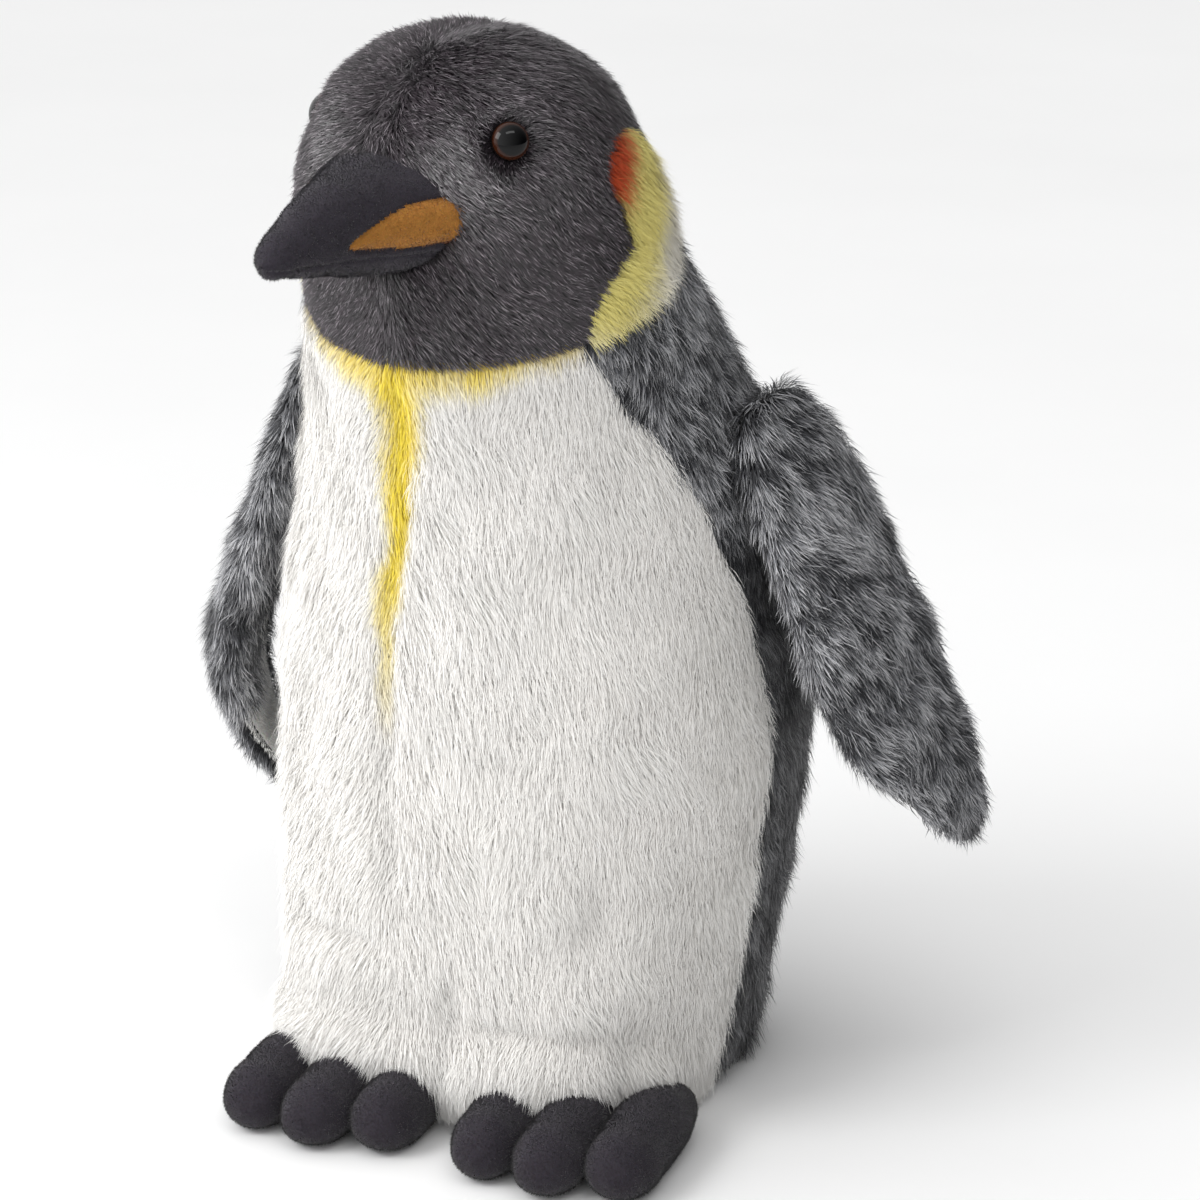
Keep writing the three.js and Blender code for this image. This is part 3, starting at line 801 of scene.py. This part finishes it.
def body_trim(points):
    """Longer pile at the hem, and shorter pile where a crease or a seam pulls it in."""
    hem = 0.35 * smoothstep(45, 14, points[:, 2]) * smoothstep(84, 66, np.abs(points[:, 0]))
    return (1 + hem) * (1 - 0.45 * np.clip(creases(points), 0, 1))


def hem_rise(points):
    """The front hem's pile stands out over the toes and falls over them."""
    x, z = points[:, 0], points[:, 2]
    return 0.5 * smoothstep(44, 26, z) * smoothstep(0, 10, z) * smoothstep(84, 66, np.abs(x))


# Strands to a square millimetre, lengths in millimetres and lift in radians.
STYLES = {
    "white": dict(density=2.6, length=11.5, vary=0.3, width=0.27, lift=0.28, lift_vary=0.13, lift_wave=0.2,
                  wander=0.4, wander_size=14, stray=0.16, clump=4.6, pull=0.32, bend=True, relief=0.1),
    "grey": dict(density=2.4, length=10, vary=0.3, width=0.38, lift=0.34, lift_vary=0.18, lift_wave=0.34,
                 wander=0.55, wander_size=10, stray=0.2, clump=2.7, pull=0.65, bend=True, relief=0.3),
    "black": dict(density=4.6, length=5.4, vary=0.3, width=0.26, lift=0.36, lift_vary=0.16, lift_wave=0.2,
                  wander=0.35, wander_size=11, stray=0.15, clump=2.4, pull=0.35, bend=True, relief=0.6),
    "ear": dict(density=5.0, length=8.5, vary=0.3, width=0.26, lift=0.5, lift_vary=0.18, lift_wave=0.22,
                wander=0.4, wander_size=8, stray=0.2, clump=3.2, pull=0.4, bend=True, relief=0.12),
    "fleece": dict(density=6.0, length=1.0, vary=0.4, width=0.3, lift=0.7, lift_vary=0.35, lift_wave=0,
                   wander=0.8, wander_size=4, stray=0.6, clump=1.4, pull=0.3, bend=False, relief=0.2),
    "velour": dict(density=3.5, length=1.8, vary=0.3, width=0.36, lift=0.55, lift_vary=0.3, lift_wave=0,
                   wander=0.5, wander_size=5, stray=0.3, clump=1.6, pull=0.3, bend=False, relief=0.2),
}
UNDERCOAT = dict(lift=0.14, lift_vary=0.08, lift_wave=0.06, clump=3.3, pull=0.15)


# ------------------------------------------------------------------ body
def make_body():
    for name, side in (("left", 1), ("right", -1)):
        for part, key in (("belly", "white"), ("back", "grey")):
            points = body_panel(side, part)
            rows, columns = points.shape[:2]
            faces = grid_faces(rows, columns, flip=side < 0)
            node = f"{part}_{name}"
            colours = belly_backing if part == "belly" else flat(GREY_ROOT)
            ground = tidy(points.reshape(-1, 3), faces)
            skin(f"{node}_fabric", twisted(points.reshape(-1, 3)), faces, "torso", node,
                 BACKING, lambda p, c=colours: c(turned(p, -TWIST["angle"])))
            comb, shades = (belly_comb, white_colours) if part == "belly" else (downwards, back_colours)
            for layer, changes in (("undercoat", UNDERCOAT), ("topcoat", {})):
                seed = 100 + 10 * side + len(part) + len(layer) * 7
                coat(f"{node}_{layer}", ground, "torso", PILE[key],
                     {**STYLES[key], **changes}, comb, shades, seed=seed, trim=body_trim,
                     raised=hem_rise if part == "belly" else None, warp=twisted)


# ------------------------------------------------------------------ head
EAR_OUTLINE = round_outline(EAR_PATCH)
PATCH_OUTLINE = round_outline(BEAK_PATCH)


def in_ear(points):
    return outline_distance(EAR_OUTLINE, points[..., 1], points[..., 2])


def beak_size(forward):
    return [np.interp(forward, BEAK[:, 0], BEAK[:, k]) for k in (1, 2, 3)]


def clear_of_head_parts(points):
    """Whether a point of the hood is outside the beak's root and the eyes."""
    clear = np.ones(len(points), bool)
    for centre in EYES.values():
        clear &= np.linalg.norm(points - centre, axis=1) > EYE["radius"] * 0.9
    width, top, bottom = beak_size(HEAD_Y - points[:, 1])
    across = points[:, 0] / np.maximum(width, 1)
    up = (points[:, 2] - (top + bottom) / 2) / np.maximum((top - bottom) / 2, 1)
    return clear & ((across**2 + up**2 > 0.86) | (points[:, 1] > -60))


def make_head():
    for name, side in (("left", 1), ("right", -1)):
        points = hood_panel(side)
        rows, columns = points.shape[:2]
        flat_points = points.reshape(-1, 3)
        centres = (points[:-1, :-1] + points[1:, 1:]) / 2
        ear = (in_ear(centres) > 0) & (centres[..., 0] * side > 5)
        for part, key, chosen in (("hood", "black", ~ear), ("ear_patch", "ear", ear)):
            faces = grid_faces(rows, columns, flip=side < 0, keep=chosen)
            node = f"{part}_{name}"
            ground = tidy(flat_points, faces)
            colours = flat(BLACK_ROOT) if key == "black" else flat(EAR_CREAM * 0.8)
            skin(f"{node}_fabric", twisted(flat_points), faces, "head", node,
                 BACKING, colours)
            coat(f"{node}_pile", ground, "head", PILE[key], STYLES[key], head_comb,
                 black_colours if key == "black" else ear_colours,
                 seed=200 + 10 * side + len(part), trim=head_trim,
                 keep=clear_of_head_parts, warp=twisted)


# ------------------------------------------------------------------ eyes
def eye_frame(eye):
    """An eye's place on the untwisted head and its outward direction, as in the CAD."""
    _, width, depth, y = [np.interp(EYE["z"], FIGURE[:, 0], FIGURE[:, k]) for k in range(4)]
    s, c = math.sin(eye["azimuth"]), math.cos(eye["azimuth"])
    place = np.array([eye["side"] * width * s, y - depth * c, EYE["z"]])
    out = np.array([eye["side"] * s * math.cos(EYE["up"]), -c * math.cos(EYE["up"]), math.sin(EYE["up"])])
    return place + out * (EYE["seat"] - eye["sunk"]), out


def make_eyes():
    rings, sides = 22, 48
    shiny = pile_material("eye_plastic", 0.03, 0.0, 0.25)
    for name, eye in EYE_SIDES.items():
        place, out = eye_frame(eye)
        across = unit(np.cross(out, [0, 0, 1.0]))
        up = np.cross(across, out)
        t = np.linspace(0, np.pi * 0.62, rings)[:, None]
        phi = np.linspace(0, 2 * np.pi, sides + 1)[None, :]
        radius = EYE["radius"] * np.sin(t)
        height = EYE["dome"] * np.cos(t)
        spoke = np.cos(phi)[..., None] * across + np.sin(phi)[..., None] * up
        points = place + radius[..., None] * spoke + (height + 0 * phi)[..., None] * out
        rim = np.broadcast_to(radius / EYE["radius"], points.shape[:2]).reshape(-1)
        points = points.reshape(-1, 3)
        pupil, iris, edge = srgb("030304"), srgb("32170b"), srgb("060505")
        ring = smoothstep(0.76, 0.82, rim) * smoothstep(0.99, 0.95, rim)
        colours = blend(np.broadcast_to(pupil, points.shape), iris, ring)
        colours = blend(colours, edge, smoothstep(0.93, 0.98, rim))
        faces = grid_faces(rings, sides + 1)
        where = twisted(points)
        middle = twisted(place[None, :])[0]
        first = faces[len(faces) // 2]
        normal = np.cross(where[first[1]] - where[first[0]], where[first[2]] - where[first[0]])
        if normal @ (where[first[0]] - middle) < 0:
            faces = faces[:, ::-1]
        keyed = {tuple(np.round(p, 3)): col for p, col in zip(where, colours)}
        skin(f"eye_{name}_dome", where, faces, "head", f"eye_{name}", shiny,
             lambda pts, k=keyed: np.array([k.get(tuple(np.round(p, 3)), pupil) for p in pts]))
        EYES[name] = place


# ------------------------------------------------------------------ beak
def make_beak():
    around, along = 140, 130
    table = curve_through(BEAK, along)
    forward, width, top, bottom = (table[:, k][:, None] for k in range(4))
    width = np.maximum(width, 0)
    phi = np.linspace(0, 2 * np.pi, around + 1)[None, :]
    half = np.maximum((top - bottom) / 2, 0)
    points = np.stack([width * np.sin(phi), HEAD_Y - forward + 0 * phi,
                       (top + bottom) / 2 + half * np.cos(phi)], axis=-1)
    out = np.stack([np.sin(phi) + 0 * forward, 0 * phi + 0 * forward, np.cos(phi) + 0 * forward], axis=-1)
    inside = outline_distance(PATCH_OUTLINE, points[..., 1], points[..., 2])
    inside = np.where(np.abs(points[..., 0]) > 1, inside, -9)
    mouth = points[..., 2] - np.interp(points[..., 1], MOUTH[:, 0], MOUTH[:, 1])
    taper = smoothstep(0, 6, half)
    groove = np.exp(-((inside / 0.9) ** 2)) + 0.7 * np.exp(-((mouth / 0.8) ** 2)) * (inside < 0)
    puff = 1.5 * smoothstep(0, 5, inside)
    wrinkle = 0.35 * noise(points, 7, 95) + 0.25 * noise(points, 3.5, 96)
    points = points + out * (taper * (puff - 0.9 * groove + wrinkle) - 0.5)[..., None]
    middle = (inside[:-1, :-1] + inside[1:, 1:]) / 2
    lower = (mouth[:-1, :-1] + mouth[1:, 1:]) / 2 < 0
    left = (points[:-1, :-1, 0] + points[1:, 1:, 0]) > 0
    regions = {
        "beak_upper_cover": (middle <= 0) & ~lower,
        "beak_lower_cover": (middle <= 0) & lower,
        "beak_patch_left": (middle > 0) & left,
        "beak_patch_right": (middle > 0) & ~left,
    }
    flat_points = points.reshape(-1, 3)
    for k, (node, chosen) in enumerate(regions.items()):
        orange = "patch" in node
        low, high = (PATCH_ROOT, PATCH_TIP) if orange else (FLEECE_ROOT, FLEECE_TIP)
        faces = grid_faces(along, around + 1, flip=True, keep=chosen)
        ground = tidy(flat_points, faces)
        skin(f"{node}_fabric", twisted(flat_points), faces, "head", node, FLEECE_BACKING,
             flat((low + high) / 2))
        coat(f"{node}_fuzz", ground, "head", PILE["fleece"], STYLES["fleece"],
             lambda p, n: np.broadcast_to(np.array([0, -1.0, -0.2]), p.shape),
             fleece_colours(low, high), seed=300 + k,
             keep=lambda p: p[:, 1] < -84, warp=twisted)


# ------------------------------------------------------------------ flippers
def flipper_frame(spec):
    """A flipper's axes: across it, outwards and up, as rows."""
    upward = -unit(np.array(spec["hangs"], float))
    across = np.array(spec["width"], float)
    across = unit(across - (across @ upward) * upward)
    return np.stack([across, -spec["side"] * np.cross(upward, across), upward])


def flipper_sheet(spec, start, end, up=90, around=64):
    """A grid over part of a flipper, between two angles round it that may change going down."""
    table = curve_through(FLIPPER, up)
    down, width, thick, shift = (table[:, k][:, None] for k in range(4))
    width, thick = np.maximum(width - 0.8, 0), np.maximum(thick - 0.8, 0)
    phi = start(down) + (end(down) - start(down)) * np.linspace(0, 1, around)[None, :]
    share = np.clip(down / FLIPPER[-1, 0], 0, 1)
    lift = spec["bow"] * np.sin(np.pi * share ** (math.log(0.5) / math.log(spec["bow_at"])))
    angle = spec["turn"] * smoothstep(0, spec["bow_at"], share)
    u = shift * (width > 0) + width * np.cos(phi)
    v = thick * np.sin(phi)
    local = np.stack([u * np.cos(angle) - v * np.sin(angle),
                      u * np.sin(angle) + v * np.cos(angle) + lift, -down + 0 * phi], axis=-1)
    local[..., 1] += 0.5 * noise(local, 16, 131) * smoothstep(0, 20, down)
    basis = flipper_frame(spec)
    faces = grid_faces(up, around, flip=np.linalg.det(basis) > 0)
    return (local @ basis + np.array(spec["at"])).reshape(-1, 3), faces


def seam_at(down):
    """The angle below the flipper's rear edge at which the cover meets the lining."""
    thick = np.interp(down, FLIPPER[:, 0], FLIPPER[:, 2])
    return np.arcsin(np.clip(LINING_SPLIT / np.maximum(thick, 2.2), -0.95, 0))


def hang_over(down):
    """How far round the grey pile hangs over the edge: well over, and not at all at the tip."""
    return 0.8 - 1.2 * smoothstep(128, 150, down)


def make_flippers():
    for name, spec in SHOULDERS.items():
        across, _, upward = flipper_frame(spec)
        lie = -upward + 0.15 * across
        body = f"flipper_{name}"
        panels = {
            "cover": ("grey", "grey_plush", GREY_ROOT, grey_colours, seam_at, lambda d: np.pi - seam_at(d),
                      lambda d: seam_at(d) - 0.5, lambda d: np.pi - seam_at(d) + hang_over(d)),
            "lining": ("velour", "white_velour", VELOUR, fleece_colours(VELOUR * 0.88, VELOUR * 0.98),
                       lambda d: np.pi - seam_at(d), lambda d: 2 * np.pi + seam_at(d),
                       lambda d: np.pi - seam_at(d) + hang_over(d), lambda d: 2 * np.pi + seam_at(d) - 0.5),
        }
        for part, (key, slot, tone, shades, start, end, pile_start, pile_end) in panels.items():
            node = f"flipper_{name}_{part}"
            points, faces = flipper_sheet(spec, start, end)
            skin(f"{node}_fabric", points, faces, body, node, BACKING, flat(tone))
            ground = tidy(*flipper_sheet(spec, pile_start, pile_end))
            style = dict(STYLES[key], density=3.6 if key == "grey" else STYLES[key]["density"])
            coat(f"{node}_pile", ground, body, PILE[key], style,
                 lambda p, n, d=lie: np.broadcast_to(d, p.shape), shades,
                 seed=400 + 10 * spec["side"] + len(part))


# ------------------------------------------------------------------ feet
def make_feet():
    up, around = 60, 48
    table = curve_through(TOE, up)
    along, width, height = (table[:, k][:, None] for k in range(3))
    width, height = np.maximum(width, 0), np.maximum(height, 0)
    phi = np.linspace(0, 2 * np.pi, around + 1)[None, :]
    for name, (x, turn) in FEET.items():
        for toe, (shift, forward) in TOES.items():
            z = TOE_LIFT + height * np.cos(phi)
            local = np.stack([shift + width * np.sin(phi), -(along + forward) + 0 * phi, z], axis=-1)
            local = local + 0.5 * noise_vectors(local, 11, 140 + len(toe))
            local[..., 2] = np.maximum(local[..., 2], TOE_FLOOR)
            points = turned(local.reshape(-1, 3), turn) + np.array([x, FOOT_Y, 0])
            faces = grid_faces(up, around + 1, flip=True)
            ground = tidy(points, faces)
            node = f"{name}_toe_{toe}_cover"
            skin(f"{name}_toe_{toe}_fabric", points, faces, f"foot_{name}", node,
                 FLEECE_BACKING, flat((FLEECE_ROOT + FLEECE_TIP) / 2))
            point = turned(np.array([0, -1.0, 0]), turn)
            coat(f"{name}_toe_{toe}_fuzz", ground, f"foot_{name}", PILE["fleece"],
                 STYLES["fleece"], lambda p, n, d=point: np.broadcast_to(d, p.shape),
                 fleece_colours(FOOT_ROOT, FOOT_TIP), seed=500 + len(name) * 10 + len(toe),
                 keep=lambda p: p[:, 2] > TOE_BARE)


# ------------------------------------------------------------------ what stays from the CAD
def finish_nodes():
    fibre = plain_material("polyester_fibre", "d8d8d4", "fbfbf8", 260, 0.95, 0.8, sheen=0.3)
    looks = {
        "base_panel": plain_material("base_fabric", "17161a", "34323a", 900, 0.95, 0.3, "weave", 0.2),
        "base_board": plain_material("board", "7b7166", "a09786", 300, 0.85, 0.1),
        "pellet_bag": plain_material("pellet_bag", "cfc8ba", "eee9dd", 320, 0.85, 1.2, "pellets"),
        "eye_washer_left": plain_material("washer_plastic", "cfcfca", "e0e0dc", 500, 0.5, 0.05),
    }
    looks["eye_washer_right"] = looks["eye_washer_left"]
    for piece in bpy.data.objects:
        if "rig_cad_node" in piece and piece.type == "MESH":
            look = looks.get(piece["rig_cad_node"], fibre)
            if not piece.material_slots:
                piece.data.materials.append(look)
            for slot in piece.material_slots:
                slot.material = look


# ------------------------------------------------------------------ the studio
CAMERA = {"azimuth": 26, "elevation": 18, "distance": 1.6, "lens": 130.6, "shift": (0.0575, -0.0433)}
AIM = Vector((0.0, 0.0, 0.2))
LAMPS = {  # azimuth and elevation from the front, distance, size across and up, and power
    "key": (-38, 38, 1.7, (0.8, 0.8), 11),
    "strip": (48, 60, 1.5, (0.9, 0.25), 2.5),
}
SKY = {"towards": (-0.9, -0.44, 0.1), "level": 0.86, "slope": 0.84}  # brighter on the toy's lit side


def bearing(azimuth, elevation):
    """The direction at an azimuth from the front (-Y) and an elevation, both in degrees."""
    a, e = math.radians(azimuth), math.radians(elevation)
    return Vector((math.sin(a) * math.cos(e), -math.cos(a) * math.cos(e), math.sin(e)))


def place_looking(name, data, towards, distance):
    made = bpy.data.objects.new(name, data)
    made.location = AIM + towards * distance
    made.rotation_euler = towards.to_track_quat("Z", "Y").to_euler()
    bpy.context.scene.collection.objects.link(made)
    return made


def make_studio():
    scene = bpy.context.scene
    data = bpy.data.cameras.new("camera")
    data.lens = CAMERA["lens"]
    data.sensor_width = 36
    data.shift_x, data.shift_y = CAMERA["shift"]
    towards = bearing(CAMERA["azimuth"], CAMERA["elevation"])
    scene.camera = place_looking("camera", data, towards, CAMERA["distance"])
    scene.view_settings.view_transform = "Standard"

    floor_mesh = bpy.data.meshes.new("floor")
    reach = 6.0
    floor_mesh.from_pydata([(-reach, -reach, 0), (reach, -reach, 0), (reach, reach, 0), (-reach, reach, 0)],
                           [], [(0, 1, 2, 3)])
    floor = bpy.data.objects.new("floor", floor_mesh)
    scene.collection.objects.link(floor)
    floor_mesh.materials.append(plain_material("studio_floor", "f2f2f2", "fafafa", 3, 0.9, 0.0))

    world = bpy.data.worlds.new("studio")
    scene.world = world
    world.use_nodes = True
    nodes, links = world.node_tree.nodes, world.node_tree.links
    place = nodes.new("ShaderNodeTexCoord")
    facing = nodes.new("ShaderNodeVectorMath")
    facing.operation = "DOT_PRODUCT"
    facing.inputs[1].default_value = SKY["towards"]
    level = nodes.new("ShaderNodeMath")
    level.operation = "MULTIPLY_ADD"
    level.inputs[1].default_value = SKY["slope"]
    level.inputs[2].default_value = SKY["level"]
    links.new(place.outputs["Generated"], facing.inputs[0])
    links.new(facing.outputs["Value"], level.inputs[0])
    links.new(level.outputs["Value"], nodes["Background"].inputs["Strength"])
    nodes["Background"].inputs["Color"].default_value = (1, 1, 1, 1)

    for name, (azimuth, elevation, distance, size, power) in LAMPS.items():
        lamp = bpy.data.lights.new(name, "AREA")
        lamp.shape = "RECTANGLE"
        lamp.size, lamp.size_y = size
        lamp.energy = power
        place_looking(name, lamp, bearing(azimuth, elevation), distance)


make_studio()
make_eyes()
make_body()
make_head()
make_beak()
make_flippers()
make_feet()
finish_nodes()
